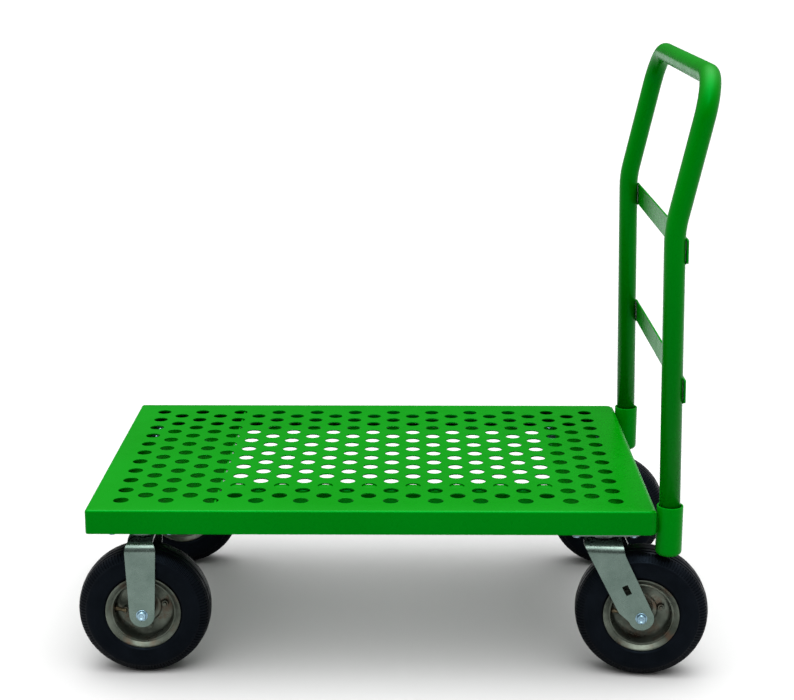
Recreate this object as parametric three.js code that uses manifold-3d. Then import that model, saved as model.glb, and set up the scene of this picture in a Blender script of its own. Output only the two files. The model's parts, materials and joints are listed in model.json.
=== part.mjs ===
// Garden cart: a perforated steel deck on two rigid and two swivel casters with
// pneumatic tyres, and a bent tube handle that drops into two sockets.
// Millimetres. +X runs along the deck towards the handle, +Z is up, and the
// origin is on the floor under the middle of the whole cart.
import * as THREE from "three";
import { mergeVertices } from "three/addons/utils/BufferGeometryUtils.js";
import Module from "manifold-3d";

const wasm = await Module();
wasm.setup();

const X = new THREE.Vector3(1, 0, 0);
const Y = new THREE.Vector3(0, 1, 0);
const Z = new THREE.Vector3(0, 0, 1);
const degree = Math.PI / 180;
const gap = 0.3; // left between pieces that touch on the real cart
const bite = 1; // depth that two joined solids reach into each other

// ---------- driving dimensions ----------
const deck = { length: 914.4, width: 609.6, top: 295, skirt: 40, sheet: 2.5 };
const deckCentreX = -34.5; // puts the middle of the whole cart over the origin
const holes = { radius: 12.7, rows: 21, rowPitch: 25.4, perRow: 12, leftMargin: 50.8, rightMargin: 61.7 };
const lip = { width: 40 };
const channel = { frontWidth: 205, rearWidth: 148, web: 3 };
const stiffener = { y: -190, depth: 28, brim: 25 };

const socket = { radius: 21.1, bore: 18.1, bottom: 216, top: 299, floor: 6 };
const handle = {
  radius: 16.7,
  wall: 3,
  y: 283.7,
  bottom: 224,
  kneeHeight: 746,
  topHeight: 977,
  inwardTilt: 1.2 * degree, // the legs lean inwards by the play of the sockets
  outwardLean: 12.5 * degree, // above the knee
  kneeRadius: 160,
  cornerRadius: 64,
};
const crossbar = { height: 38, thickness: 3.5, overhang: 10, upper: 712, lower: 489 };

const tyre = { radius: 108.5, halfWidth: 35, segments: 24 };
const rim = { radius: 61.8, segments: 16 };
const hub = { radius: 13, bore: 5.3, halfLength: 38, segments: 16 };
const axle = { radius: 5, acrossFlats: 14.3, headHeight: 6, nutHeight: 8 };
const fork = { inner: 38.5, thickness: 4.5, shoulder: 22, legWidth: 50, footRadius: 20.5, boss: 21.5 };
const plate = { length: 114, thickness: 5, corner: 10, slotX: 92, edge: 17.5, rigidWidth: 84, swivelWidth: 102 };
const caster = { y: 245, rigidX: 83.2, swivelX: 80.2, lead: 66, yaw: -6.7 * degree };
const race = { cover: 28.5, coverWall: 3, coverDrop: 9.2, disc: 24.8, discHeight: 4, ball: 3, ballCircle: 18.5 };
const kingpin = { radius: 6, hole: 7, acrossFlats: 19, nutHeight: 8 };

// ---------- derived places ----------
const deckLeft = deckCentreX - deck.length / 2;
const deckRight = deckCentreX + deck.length / 2;
const deckBottom = deck.top - deck.skirt;
const sheetUnderside = deck.top - deck.sheet;
const plateTop = deckBottom - gap;
const plateBottom = plateTop - plate.thickness;
const socketX = deckRight + socket.radius + gap;
const socketMiddle = (socket.bottom + socket.floor + socket.top) / 2;
const kneeX = socketX - Math.tan(handle.inwardTilt) * (handle.kneeHeight - socketMiddle);
const crownTop = plateBottom - race.coverDrop - race.discHeight;

// ---------- finishes ----------
const finish = {
  green: { color: 0x0f8c24, roughness: 0.35, metalness: 0.1 },
  zinc: { color: 0xa9b0ab, roughness: 0.35, metalness: 0.9 },
  rimZinc: { color: 0x8f8f7c, roughness: 0.4, metalness: 0.85 },
  bolt: { color: 0xc3ccd2, roughness: 0.25, metalness: 1 },
  bearing: { color: 0x6f7270, roughness: 0.4, metalness: 0.9 },
  tyre: { color: 0x15171b, roughness: 0.75, metalness: 0 },
  tube: { color: 0x202020, roughness: 0.6, metalness: 0 },
  brass: { color: 0x9c8448, roughness: 0.4, metalness: 0.8 },
};

// ---------- helpers ----------
const basis = (x, y, z) => new THREE.Matrix4().makeBasis(x, y, z);
const alongX = basis(Y, Z, X); // an outline in (y, z), extruded along X
const alongY = basis(X, Z, Y.clone().negate()); // an outline in (x, z), extruded along Y
const shifted = (x, y, z) => new THREE.Matrix4().makeTranslation(x, y, z);

function solid(geometry) {
  const bare = geometry.index ? geometry.toNonIndexed() : geometry.clone();
  bare.deleteAttribute("normal");
  bare.deleteAttribute("uv");
  const merged = mergeVertices(bare, 1e-3);
  return new wasm.Manifold(
    new wasm.Mesh({
      numProp: 3,
      vertProperties: merged.attributes.position.array,
      triVerts: new Uint32Array(merged.index.array),
    }),
  );
}

function geometryOf(shape) {
  const mesh = shape.getMesh();
  const geometry = new THREE.BufferGeometry();
  geometry.setAttribute("position", new THREE.BufferAttribute(mesh.vertProperties, 3));
  geometry.setIndex(new THREE.BufferAttribute(mesh.triVerts, 1));
  geometry.computeVertexNormals();
  return geometry;
}

function box(x0, x1, y0, y1, z0, z1) {
  const geometry = new THREE.BoxGeometry(x1 - x0, y1 - y0, z1 - z0);
  return geometry.translate((x0 + x1) / 2, (y0 + y1) / 2, (z0 + z1) / 2);
}

function outline(points) {
  return new THREE.Shape(points.map(([a, b]) => new THREE.Vector2(a, b)));
}

function polygon(radius, sides, a = 0, b = 0) {
  const point = (i) => {
    const angle = (2 * Math.PI * (i + 0.5)) / sides;
    return new THREE.Vector2(a + radius * Math.cos(angle), b + radius * Math.sin(angle));
  };
  return Array.from({ length: sides }, (_, i) => point(i));
}

function roundedRectangle(width, height, radius, a = 0, b = 0) {
  const shape = new THREE.Shape();
  const w = width / 2 - radius;
  const h = height / 2 - radius;
  shape.absarc(a + w, b + h, radius, 0, Math.PI / 2);
  shape.absarc(a - w, b + h, radius, Math.PI / 2, Math.PI);
  shape.absarc(a - w, b - h, radius, Math.PI, 1.5 * Math.PI);
  shape.absarc(a + w, b - h, radius, 1.5 * Math.PI, 2 * Math.PI);
  return shape;
}

// Extrudes an outline by depth, half to each side of its plane.
function slab(shape, depth, matrix = new THREE.Matrix4(), curveSegments = 4) {
  const geometry = new THREE.ExtrudeGeometry(shape, { depth, bevelEnabled: false, curveSegments });
  return geometry.translate(0, 0, -depth / 2).applyMatrix4(matrix);
}

// Spins a closed outline of [radius, height] points about the local Y axis.
// Radii are given to the flats, and a flat faces straight down.
function turned(points, segments) {
  const stretch = 1 / Math.cos(Math.PI / segments);
  const closed = [...points, points[0]].map(([r, y]) => new THREE.Vector2(r * stretch, y));
  if (THREE.ShapeUtils.area(closed) < 0) closed.reverse();
  return new THREE.LatheGeometry(closed, segments, Math.PI / segments);
}

const spunUp = (points, segments) => turned(points, segments).rotateX(Math.PI / 2);

const root = new THREE.Group();

function add(name, geometry, look, parent = root) {
  const mesh = new THREE.Mesh(geometry, new THREE.MeshStandardMaterial(look));
  mesh.name = name;
  parent.add(mesh);
  return mesh;
}

function group(x, y, z, turnZ = 0) {
  const made = new THREE.Group();
  made.position.set(x, y, z);
  made.rotation.z = turnZ;
  root.add(made);
  return made;
}

// ---------- deck ----------
// One strip of the sheet, with one row of holes. Its two long edges have a point above and
// below each hole and each space, so that the strips meet point to point.
function holeStrip(row, y0, y1, halfLength) {
  const staggered = row % 2;
  const y = holes.rowPitch * (row - (holes.rows - 1) / 2);
  const firstX = -deck.length / 2 + holes.leftMargin;
  const pitch = (deck.length - holes.leftMargin - holes.rightMargin) / (holes.perRow - 1);
  const between = Array.from({ length: 2 * holes.perRow - 1 }, (_, i) => firstX + (pitch * i) / 2);
  const xs = [-halfLength, ...between, halfLength];
  const shape = outline([...xs.map((x) => [x, y0]), ...xs.map((x) => [x, y1]).reverse()]);
  for (let i = 0; i < holes.perRow - staggered; i++) {
    const x = firstX + pitch * (i + staggered / 2);
    shape.holes.push(new THREE.Path(polygon(holes.radius, 6, x, y).map((p) => turnedFlat(p, x, y))));
  }
  return slab(shape, deck.sheet, shifted(deckCentreX, 0, deck.top - deck.sheet / 2));
}

// Turns a hexagon's point by 30 degrees, so that its flats face the next rows.
const turnedFlat = (point, x, y) => point.rotateAround(new THREE.Vector2(x, y), 30 * degree);

// The sheet is joined from its rows, which keeps every facet of it short.
function perforatedSheet() {
  const clear = deck.sheet + gap;
  const halfWidth = deck.width / 2 - clear;
  const edgeOf = (row) => holes.rowPitch * (row - holes.rows / 2);
  let sheet;
  for (let row = 0; row < holes.rows; row++) {
    const y0 = row === 0 ? -halfWidth : edgeOf(row);
    const y1 = row === holes.rows - 1 ? halfWidth : edgeOf(row + 1);
    const strip = solid(holeStrip(row, y0, y1, deck.length / 2 - clear));
    sheet = sheet ? sheet.add(strip) : strip;
  }
  return geometryOf(sheet);
}

function skirt() {
  const ring = roundedRectangle(deck.length, deck.width, 5);
  const inner = roundedRectangle(deck.length - 2 * deck.sheet, deck.width - 2 * deck.sheet, 0.5);
  ring.holes.push(new THREE.Path(inner.getPoints(2)));
  const middle = shifted(deckCentreX, 0, deck.top - deck.skirt / 2);
  let made = solid(slab(ring, deck.skirt, middle, 2));
  const x0 = deckLeft + channel.frontWidth + gap;
  const x1 = deckRight - channel.rearWidth - gap;
  const edge = deck.width / 2 - deck.sheet / 2;
  for (const side of [-1, 1]) {
    const ys = [side * edge, side * (edge - lip.width)].sort((a, b) => a - b);
    made = made.add(solid(box(x0, x1, ys[0], ys[1], deckBottom, deckBottom + deck.sheet)));
  }
  return geometryOf(made);
}

// A channel across the cart, open at the top, whose web carries two caster plates.
function crossChannel(x0, x1) {
  const top = sheetUnderside - gap;
  const section = outline([
    [x0, deckBottom],
    [x1, deckBottom],
    [x1, top],
    [x1 - channel.web, top],
    [x1 - channel.web, deckBottom + channel.web],
    [x0 + channel.web, deckBottom + channel.web],
    [x0 + channel.web, top],
    [x0, top],
  ]);
  return slab(section, deck.width - 2 * (deck.sheet + gap), alongY);
}

// The angle under the fourth row of holes, on the near side only.
function sideStiffener() {
  const top = sheetUnderside - gap;
  const section = outline([
    [stiffener.y, top],
    [stiffener.y + stiffener.brim, top],
    [stiffener.y + stiffener.brim, top - deck.sheet],
    [stiffener.y + deck.sheet, top - deck.sheet],
    [stiffener.y + deck.sheet, top - stiffener.depth],
    [stiffener.y, top - stiffener.depth],
  ]);
  const x0 = deckLeft + channel.frontWidth + gap;
  const x1 = deckRight - channel.rearWidth - gap;
  return slab(section, x1 - x0, shifted((x0 + x1) / 2, 0, 0).multiply(alongX));
}

// ---------- handle ----------
function handleSocket() {
  const round = 8;
  const step = round * Math.cos(45 * degree);
  const { radius, bore, bottom, top, floor } = socket;
  return spunUp(
    [
      [0, bottom],
      [radius - round, bottom],
      [radius - round + step, bottom + round - step],
      [radius, bottom + round],
      [radius, top - 1.5],
      [radius - 1, top],
      [bore, top],
      [bore, bottom + floor],
      [0, bottom + floor],
    ],
    16,
  );
}

// The points of a path with its inner corners rounded, and no step inside a straight.
function roundedPath(corners, radii, arcSteps) {
  const points = [corners[0]];
  for (let i = 1; i < corners.length - 1; i++) {
    const before = corners[i - 1].clone().sub(corners[i]).normalize();
    const after = corners[i + 1].clone().sub(corners[i]).normalize();
    const half = before.angleTo(after) / 2;
    const bisector = before.clone().add(after).normalize();
    const centre = corners[i].clone().addScaledVector(bisector, radii[i - 1] / Math.sin(half));
    const start = corners[i].clone().addScaledVector(before, radii[i - 1] / Math.tan(half)).sub(centre);
    const turn = Math.PI - 2 * half;
    const normal = after.clone().cross(before).normalize();
    for (let k = 0; k <= arcSteps[i - 1]; k++) {
      const spoke = start.clone().applyAxisAngle(normal, (turn * k) / arcSteps[i - 1]);
      points.push(spoke.add(centre));
    }
  }
  return [...points, corners[corners.length - 1]];
}

// A curve that is sampled at its own stations, one step from each to the next.
class StationCurve extends THREE.Curve {
  constructor(stations) {
    super();
    this.stations = stations;
  }
  station(u) {
    return Math.round(u * (this.stations.length - 1));
  }
  getPointAt(u) {
    return this.stations[this.station(u)].clone();
  }
  getTangentAt(u) {
    const i = this.station(u);
    const before = this.stations[Math.max(i - 1, 0)];
    const here = this.stations[i];
    const after = this.stations[Math.min(i + 1, this.stations.length - 1)];
    const back = here.clone().sub(before).normalize();
    const ahead = after.clone().sub(here).normalize();
    return back.add(ahead).normalize();
  }
}

function handleTube() {
  const kneeAt = (side) => new THREE.Vector3(kneeX, side * handle.y, handle.kneeHeight);
  const rise = handle.topHeight - handle.kneeHeight;
  const topX = kneeX + Math.tan(handle.outwardLean) * rise;
  const topAt = (side) => new THREE.Vector3(topX, side * handle.y, handle.topHeight);
  const fall = handle.kneeHeight - handle.bottom;
  const footX = kneeX + Math.tan(handle.inwardTilt) * fall;
  const footAt = (side) => new THREE.Vector3(footX, side * handle.y, handle.bottom);
  const corners = [footAt(-1), kneeAt(-1), topAt(-1), topAt(1), kneeAt(1), footAt(1)];
  const { kneeRadius, cornerRadius } = handle;
  const stations = roundedPath(
    corners,
    [kneeRadius, cornerRadius, cornerRadius, kneeRadius],
    [3, 6, 6, 3],
  );
  const sides = 12;
  const section = new THREE.Shape(polygon(handle.radius / Math.cos(Math.PI / sides), sides));
  section.holes.push(new THREE.Path(polygon(handle.radius - handle.wall, sides)));
  return new THREE.ExtrudeGeometry(section, {
    steps: stations.length - 1,
    extrudePath: new StationCurve(stations),
    bevelEnabled: false,
  });
}

// A flat bar welded across the outer side of the two legs.
function addCrossbar(name, height) {
  const legX = kneeX + Math.tan(handle.inwardTilt) * (handle.kneeHeight - height);
  const holder = group(legX, 0, height);
  holder.rotation.y = -handle.inwardTilt;
  const x0 = handle.radius + gap;
  const y1 = handle.y + crossbar.overhang;
  const half = crossbar.height / 2;
  add(name, box(x0, x0 + crossbar.thickness, -y1, y1, -half, half), finish.green, holder);
}

// ---------- casters ----------
function slottedPlate(width) {
  const shape = roundedRectangle(plate.length, width, plate.corner);
  for (const sx of [-1, 1]) {
    for (const sy of [-1, 1]) {
      const slot = roundedRectangle(18, 10, 4.9, (sx * plate.slotX) / 2, sy * (width / 2 - plate.edge));
      shape.holes.push(new THREE.Path(slot.getPoints(1)));
    }
  }
  return slab(shape, plate.thickness, shifted(0, 0, plateBottom + plate.thickness / 2), 3);
}

// The upper race: a cup under the plate that covers the balls.
function swivelPlate() {
  const { cover, coverWall, coverDrop } = race;
  const cup = spunUp(
    [
      [cover - coverWall, plateBottom - coverDrop],
      [cover, plateBottom - coverDrop],
      [cover, plateBottom + bite],
      [cover - coverWall, plateBottom + bite],
    ],
    24,
  );
  return geometryOf(solid(slottedPlate(plate.swivelWidth)).add(solid(cup)));
}

// A strap bent to an upturned U with round shoulders, in (y, z), down to the floor.
function strapSection(top) {
  const outer = fork.inner + fork.thickness;
  const flat = outer - fork.shoulder;
  const shape = new THREE.Shape();
  shape.moveTo(outer, 0);
  shape.absarc(flat, top - fork.shoulder, fork.shoulder, 0, Math.PI / 2);
  shape.absarc(-flat, top - fork.shoulder, fork.shoulder, Math.PI / 2, Math.PI);
  shape.lineTo(-outer, 0);
  shape.lineTo(-fork.inner, 0);
  const inner = fork.shoulder - fork.thickness;
  shape.absarc(-flat, top - fork.shoulder, inner, Math.PI, Math.PI / 2, true);
  shape.absarc(flat, top - fork.shoulder, inner, Math.PI / 2, 0, true);
  shape.lineTo(fork.inner, 0);
  return shape;
}

const roundHole = (radius, x, z) => new THREE.Path(polygon(radius, 12, x, z));

// The rigid caster's fork: legs straight down from a crown with a round boss under the plate.
function rigidFork() {
  const half = fork.legWidth / 2;
  const neck = fork.boss - 1;
  const side = new THREE.Shape();
  side.moveTo(neck, crownTop + bite);
  side.lineTo(-neck, crownTop + bite);
  side.lineTo(-neck, crownTop - 5);
  side.lineTo(-half, crownTop - 14);
  side.lineTo(-fork.footRadius, tyre.radius);
  side.absarc(0, tyre.radius, fork.footRadius, Math.PI, 2 * Math.PI);
  side.lineTo(half, crownTop - 14);
  side.lineTo(neck, crownTop - 5);
  side.holes.push(roundHole(hub.bore, 0, tyre.radius));
  const strap = solid(slab(strapSection(crownTop), 120, alongX, 4));
  const boss = spunUp(
    [
      [0, crownTop - bite],
      [fork.boss, crownTop - bite],
      [fork.boss, plateBottom - gap],
      [0, plateBottom - gap],
    ],
    24,
  );
  return geometryOf(strap.intersect(solid(slab(side, 120, alongY, 6))).add(solid(boss)));
}

// The swivel caster's fork: a round crown on the kingpin, with legs raked back to the axle.
function swivelFork() {
  const drop = crownTop - tyre.radius;
  const rake = Math.atan2(caster.lead, drop);
  const across = fork.legWidth / 2;
  const foot = fork.footRadius;
  const side = new THREE.Shape();
  side.moveTo(30, crownTop + bite);
  side.lineTo(-30, crownTop + bite);
  side.lineTo(-30, crownTop - 6);
  side.lineTo(caster.lead - across * Math.cos(rake) - 14, tyre.radius + 8);
  side.absarc(caster.lead, tyre.radius, foot, Math.PI + 0.35, 2 * Math.PI + rake);
  side.lineTo(38, crownTop - 24);
  side.holes.push(roundHole(hub.bore, caster.lead, tyre.radius));
  const along = 0.63;
  const slot = roundedRectangle(10, 17, 1, 0, 0);
  const centre = new THREE.Vector2(caster.lead * along, crownTop - drop * along);
  const turned = slot.getPoints(1).map((p) => p.rotateAround(new THREE.Vector2(), rake).add(centre));
  side.holes.push(new THREE.Path(turned));
  const strap = solid(slab(strapSection(crownTop), 400, alongX, 4));
  const crown = spunUp(
    [
      [kingpin.hole, crownTop - bite],
      [race.disc, crownTop - bite],
      [race.disc, crownTop + race.discHeight],
      [kingpin.hole, crownTop + race.discHeight],
    ],
    24,
  );
  const bore = spunUp(
    [
      [0, crownTop - 20],
      [kingpin.hole, crownTop - 20],
      [kingpin.hole, crownTop + 20],
      [0, crownTop + 20],
    ],
    24,
  );
  const legs = strap.intersect(solid(slab(side, 120, alongY, 5)));
  return geometryOf(legs.add(solid(crown)).subtract(solid(bore)));
}

function ballRing() {
  const z = plateBottom - race.coverDrop / 2;
  const ring = polygon(race.ball, 8).map((p) => [race.ballCircle + p.x, z + p.y]);
  return spunUp(ring, 16);
}

function hexagon(acrossFlats, height) {
  const shape = new THREE.Shape(polygon(acrossFlats / 2 / Math.cos(Math.PI / 6), 6));
  return new THREE.ExtrudeGeometry(shape, { depth: height, bevelEnabled: false });
}

function hexNut(acrossFlats, hole, height) {
  const shape = new THREE.Shape(polygon(acrossFlats / 2 / Math.cos(Math.PI / 6), 6));
  shape.holes.push(new THREE.Path(polygon(hole, 12)));
  return new THREE.ExtrudeGeometry(shape, { depth: height, bevelEnabled: false });
}

// The kingpin hangs from the plate, and its nut holds the crown up against the balls.
function addKingpin(name, holder) {
  const top = plateBottom - gap;
  const bottom = crownTop - fork.thickness - gap;
  const shank = new THREE.CylinderGeometry(kingpin.radius, kingpin.radius, top - bottom + kingpin.nutHeight, 12);
  shank.rotateX(Math.PI / 2).translate(0, 0, (top + bottom - kingpin.nutHeight) / 2);
  add(name + "_kingpin", shank, finish.bolt, holder);
  const nut = hexNut(kingpin.acrossFlats, kingpin.radius + gap + 0.2, kingpin.nutHeight);
  nut.translate(0, 0, bottom - kingpin.nutHeight);
  add(name + "_kingpin_nut", nut, finish.bolt, holder);
}

// The axle bolt's head is on the outside of the cart, and its nut on the inside.
function addAxle(name, holder, outward, x) {
  const face = fork.inner + fork.thickness + gap;
  const tip = face + axle.nutHeight + 2;
  const head = hexagon(axle.acrossFlats, axle.headHeight).translate(0, 0, face);
  const shank = new THREE.CylinderGeometry(axle.radius, axle.radius, face + tip + bite, 12);
  shank.rotateX(Math.PI / 2).translate(0, 0, (face - tip + bite) / 2);
  const bolt = geometryOf(solid(head).add(solid(shank)));
  const nut = hexNut(axle.acrossFlats, axle.radius + gap + 0.2, axle.nutHeight);
  nut.translate(0, 0, -face - axle.nutHeight);
  const place = new THREE.Group();
  place.position.set(x, 0, tyre.radius);
  place.rotation.x = (-outward * Math.PI) / 2;
  holder.add(place);
  add(name + "_axle_bolt", bolt, finish.bolt, place);
  add(name + "_axle_nut", nut, finish.bolt, place);
}

// ---------- wheels ----------
const mirrored = (half) => [...half, ...half.map(([r, y]) => [r, -y]).reverse()];

// A tyre carcase, open between its beads.
function tyreBody() {
  const outside = mirrored([
    [53.5, 25.5],
    [64, 31],
    [82, tyre.halfWidth],
    [99, 29.5],
    [tyre.radius, 10],
  ]);
  const inside = mirrored([
    [53.5, 17],
    [68, 26],
    [90, 25],
    [100.5, 9],
  ]).reverse();
  return turned([...outside, ...inside], tyre.segments);
}

function innerTube() {
  return turned(
    mirrored([
      [53, 10],
      [68, 22],
      [88, 22],
      [98, 8],
    ]),
    16,
  );
}

// One pressed half of the rim, on the side that outward points to.
function rimHalf(outward) {
  const disc = 0.2;
  const sheet = 2.2;
  const half = [
    [rim.radius, 32.2],
    [48.4, 27],
    [48.4, 9],
    [44, disc + sheet],
    [hub.radius + gap, disc + sheet],
    [hub.radius + gap, disc],
    [46, disc],
    [51.2, 8],
    [51.2, 25.8],
    [rim.radius, 30.6],
  ];
  return turned(half.map(([r, y]) => [r, outward * y]), rim.segments);
}

function wheelHub() {
  return turned(
    mirrored([
      [hub.bore, hub.halfLength],
      [hub.radius, hub.halfLength],
    ]),
    hub.segments,
  );
}

// The stem comes out of the rim's barrel and points to the axle, leaning out of the dish.
function valveStem(outward) {
  const stem = new THREE.CylinderGeometry(3.2, 4.4, 21, 8);
  const leanOut = 28 * degree;
  stem.rotateZ(leanOut - Math.PI / 2).translate(-37, 18, 0);
  return outward < 0 ? stem.rotateX(Math.PI) : stem;
}

function addWheel(name, holder, outward, x) {
  const place = new THREE.Group();
  place.position.set(x, 0, tyre.radius);
  holder.add(place);
  add(name + "_tyre", tyreBody(), finish.tyre, place);
  add(name + "_inner_tube", innerTube(), finish.tube, place);
  add(name + "_rim_outer", rimHalf(outward), finish.rimZinc, place);
  add(name + "_rim_inner", rimHalf(-outward), finish.rimZinc, place);
  add(name + "_hub", wheelHub(), finish.bearing, place);
  add(name + "_valve_stem", valveStem(outward), finish.brass, place);
}

function addRigidCaster(name, side) {
  const holder = group(deckLeft + caster.rigidX, side * caster.y, 0);
  add(name + "_plate", slottedPlate(plate.rigidWidth), finish.zinc, holder);
  add(name + "_fork", rigidFork(), finish.zinc, holder);
  addAxle(name, holder, side, 0);
  addWheel(name, holder, side, 0);
}

function addSwivelCaster(name, side) {
  const x = deckRight - caster.swivelX;
  const fixed = group(x, side * caster.y, 0);
  add(name + "_plate", swivelPlate(), finish.zinc, fixed);
  addKingpin(name, fixed);
  const yoke = group(x, side * caster.y, 0, caster.yaw);
  add(name + "_ball_ring", ballRing(), finish.bearing, yoke);
  add(name + "_fork", swivelFork(), finish.zinc, yoke);
  addAxle(name, yoke, side, caster.lead);
  addWheel(name, yoke, side, caster.lead);
}

// ---------- the cart ----------
add("deck_sheet", perforatedSheet(), finish.green);
add("deck_skirt", skirt(), finish.green);
const insideEnd = deck.sheet + gap;
add("front_cross_channel", crossChannel(deckLeft + insideEnd, deckLeft + channel.frontWidth), finish.green);
add("rear_cross_channel", crossChannel(deckRight - channel.rearWidth, deckRight - insideEnd), finish.green);
add("handle_tube", handleTube(), finish.green);
addCrossbar("handle_crossbar_upper", crossbar.upper);
addCrossbar("handle_crossbar_lower", crossbar.lower);
add("side_stiffener", sideStiffener(), finish.green);
for (const [place, side] of [["near", -1], ["far", 1]]) {
  add("handle_socket_" + place, handleSocket(), finish.green, group(socketX, side * handle.y, 0));
  addRigidCaster("front_" + place, side);
  addSwivelCaster("rear_" + place, side);
}

export default root;
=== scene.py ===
# %% [markdown]
# # A garden cart, built round its CAD frame
# The cart is a perforated steel deck on four air-filled wheels, with a bent tube to push it by. The packed
# CAD model says where every part is and how it moves. This lesson dresses it: each part gets a shape with
# real edges, bends and welds, and a finish made from nodes. All lengths are in metres.

# %% Load the frame
import json
import math
import bmesh
import bpy
from mathutils import Matrix, Vector


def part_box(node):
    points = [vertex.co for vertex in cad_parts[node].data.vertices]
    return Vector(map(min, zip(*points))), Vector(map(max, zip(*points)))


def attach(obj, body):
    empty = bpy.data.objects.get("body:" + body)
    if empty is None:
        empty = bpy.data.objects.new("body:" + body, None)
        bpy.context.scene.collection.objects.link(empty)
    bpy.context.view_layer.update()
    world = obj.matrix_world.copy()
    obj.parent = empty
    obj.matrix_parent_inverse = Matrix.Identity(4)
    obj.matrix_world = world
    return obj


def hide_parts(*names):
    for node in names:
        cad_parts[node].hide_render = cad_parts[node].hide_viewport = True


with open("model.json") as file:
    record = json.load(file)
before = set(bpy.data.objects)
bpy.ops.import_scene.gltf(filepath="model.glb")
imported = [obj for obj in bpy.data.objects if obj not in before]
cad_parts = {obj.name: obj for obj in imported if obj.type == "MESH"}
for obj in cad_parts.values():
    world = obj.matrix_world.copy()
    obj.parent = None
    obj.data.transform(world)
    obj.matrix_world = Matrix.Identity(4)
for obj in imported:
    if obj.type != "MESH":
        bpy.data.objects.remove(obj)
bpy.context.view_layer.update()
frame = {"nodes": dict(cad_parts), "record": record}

MM = 0.001
print("nodes in the frame:", len(frame["nodes"]))

# %% [markdown]
# ## The camera
# The cart is seen from its long side, from about chest height and nearly three metres away. The lens is a
# short telephoto, so the deck's far edge is not much shorter than its near one.

# %% Camera
LOOKS_DOWN = math.radians(14.234)
LOOKS_LEFT = math.radians(0.395)
camera = bpy.data.objects.new("camera", bpy.data.cameras.new("camera"))
camera.data.lens = 76.6
camera.data.sensor_width = 36
camera.data.clip_end = 100
camera.location = (0.0246, -2.846, 1.2042)
camera.rotation_euler = (math.pi / 2 - LOOKS_DOWN, 0, LOOKS_LEFT)
bpy.context.scene.collection.objects.link(camera)
bpy.context.scene.camera = camera
bpy.context.scene.view_settings.view_transform = "Standard"
print("camera looks down by %.1f degrees" % math.degrees(LOOKS_DOWN))

# %% [markdown]
# ## Helpers for meshes
# Each piece starts as a bmesh, is shaped by operators and is then turned into an object that rides on one
# body of the frame. `outline_loop` makes the few points of an outline and joins them with edges, `extruded`
# draws edges on, `spun` turns an outline round an axis as on a lathe, and `finish_piece` does what every
# piece needs at its end.


# %% Outlines
def arc(centre, radius, start, end, steps):
    """Points on a circle from one angle to another, in degrees."""
    angles = [math.radians(start + (end - start) * i / steps) for i in range(steps + 1)]
    return [(centre[0] + radius * math.cos(a), centre[1] + radius * math.sin(a)) for a in angles]


def outline_loop(bm, points, plane, closed=True):
    """Edges through points (a, b), where plane turns (a, b) into a place."""
    verts = [bm.verts.new(plane(a, b)) for a, b in points]
    count = len(verts) if closed else len(verts) - 1
    edges = [bm.edges.new((verts[i], verts[(i + 1) % len(verts)])) for i in range(count)]
    return verts, edges


def edges_of(verts):
    """The edges at these verts, each once and always in the same order."""
    return list(dict.fromkeys(edge for vert in verts for edge in vert.link_edges))


def extruded(bm, edges):
    """Draws edges on. The new verts and edges still lie where the old ones do."""
    drawn = bmesh.ops.extrude_edge_only(bm, edges=edges)
    verts = [g for g in drawn["geom"] if isinstance(g, bmesh.types.BMVert)]
    fresh = [g for g in drawn["geom"] if isinstance(g, bmesh.types.BMEdge)]
    return verts, fresh


def spun(bm, points, axis, plane, steps, closed=True):
    """Turns an outline all the way round an axis through the origin."""
    verts, edges = outline_loop(bm, points, plane, closed)
    bmesh.ops.spin(bm, geom=verts + edges, cent=(0, 0, 0), axis=axis, dvec=(0, 0, 0),
                   angle=2 * math.pi, steps=steps, use_merge=True, use_duplicate=False)
    bmesh.ops.remove_doubles(bm, verts=bm.verts, dist=0.00001)
    bmesh.ops.recalc_face_normals(bm, faces=bm.faces)


def about_y(radius, y):
    return Vector((radius, y, 0))


def about_z(radius, z):
    return Vector((radius, 0, z))


# %% Finishing a piece
def finish_piece(name, bm, material, body, replaces=(), place=None, sharp=30):
    """Makes an object of a bmesh, with its material, its body and the CAD nodes that it stands for."""
    if place is not None:
        bmesh.ops.transform(bm, matrix=place, verts=bm.verts)
    mesh = bpy.data.meshes.new(name)
    bm.to_mesh(mesh)
    bm.free()
    mesh.materials.append(material)
    mesh.shade_smooth()
    mesh.set_sharp_from_angle(angle=math.radians(sharp))
    piece = bpy.data.objects.new(name, mesh)
    bpy.context.scene.collection.objects.link(piece)
    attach(piece, body)
    if replaces:
        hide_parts(*replaces)
    return piece


def thicken(piece, thickness, offset=-1.0):
    solidify = piece.modifiers.new("thickness", "SOLIDIFY")
    solidify.thickness = thickness
    solidify.offset = offset
    return piece


def soften(piece, width, segments=2, angle=35):
    bevel = piece.modifiers.new("edges", "BEVEL")
    bevel.width = width
    bevel.segments = segments
    bevel.limit_method = "ANGLE"
    bevel.angle_limit = math.radians(angle)
    bevel.harden_normals = True
    return piece


# %% [markdown]
# ## Finishes
# Every finish is a small tree of nodes that reads Object coordinates, so a pattern keeps its scale on every
# piece. `Finish` holds the tree while it is made. Values that are the same all over a surface are set on the
# shader itself, and only what varies is linked.


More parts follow.
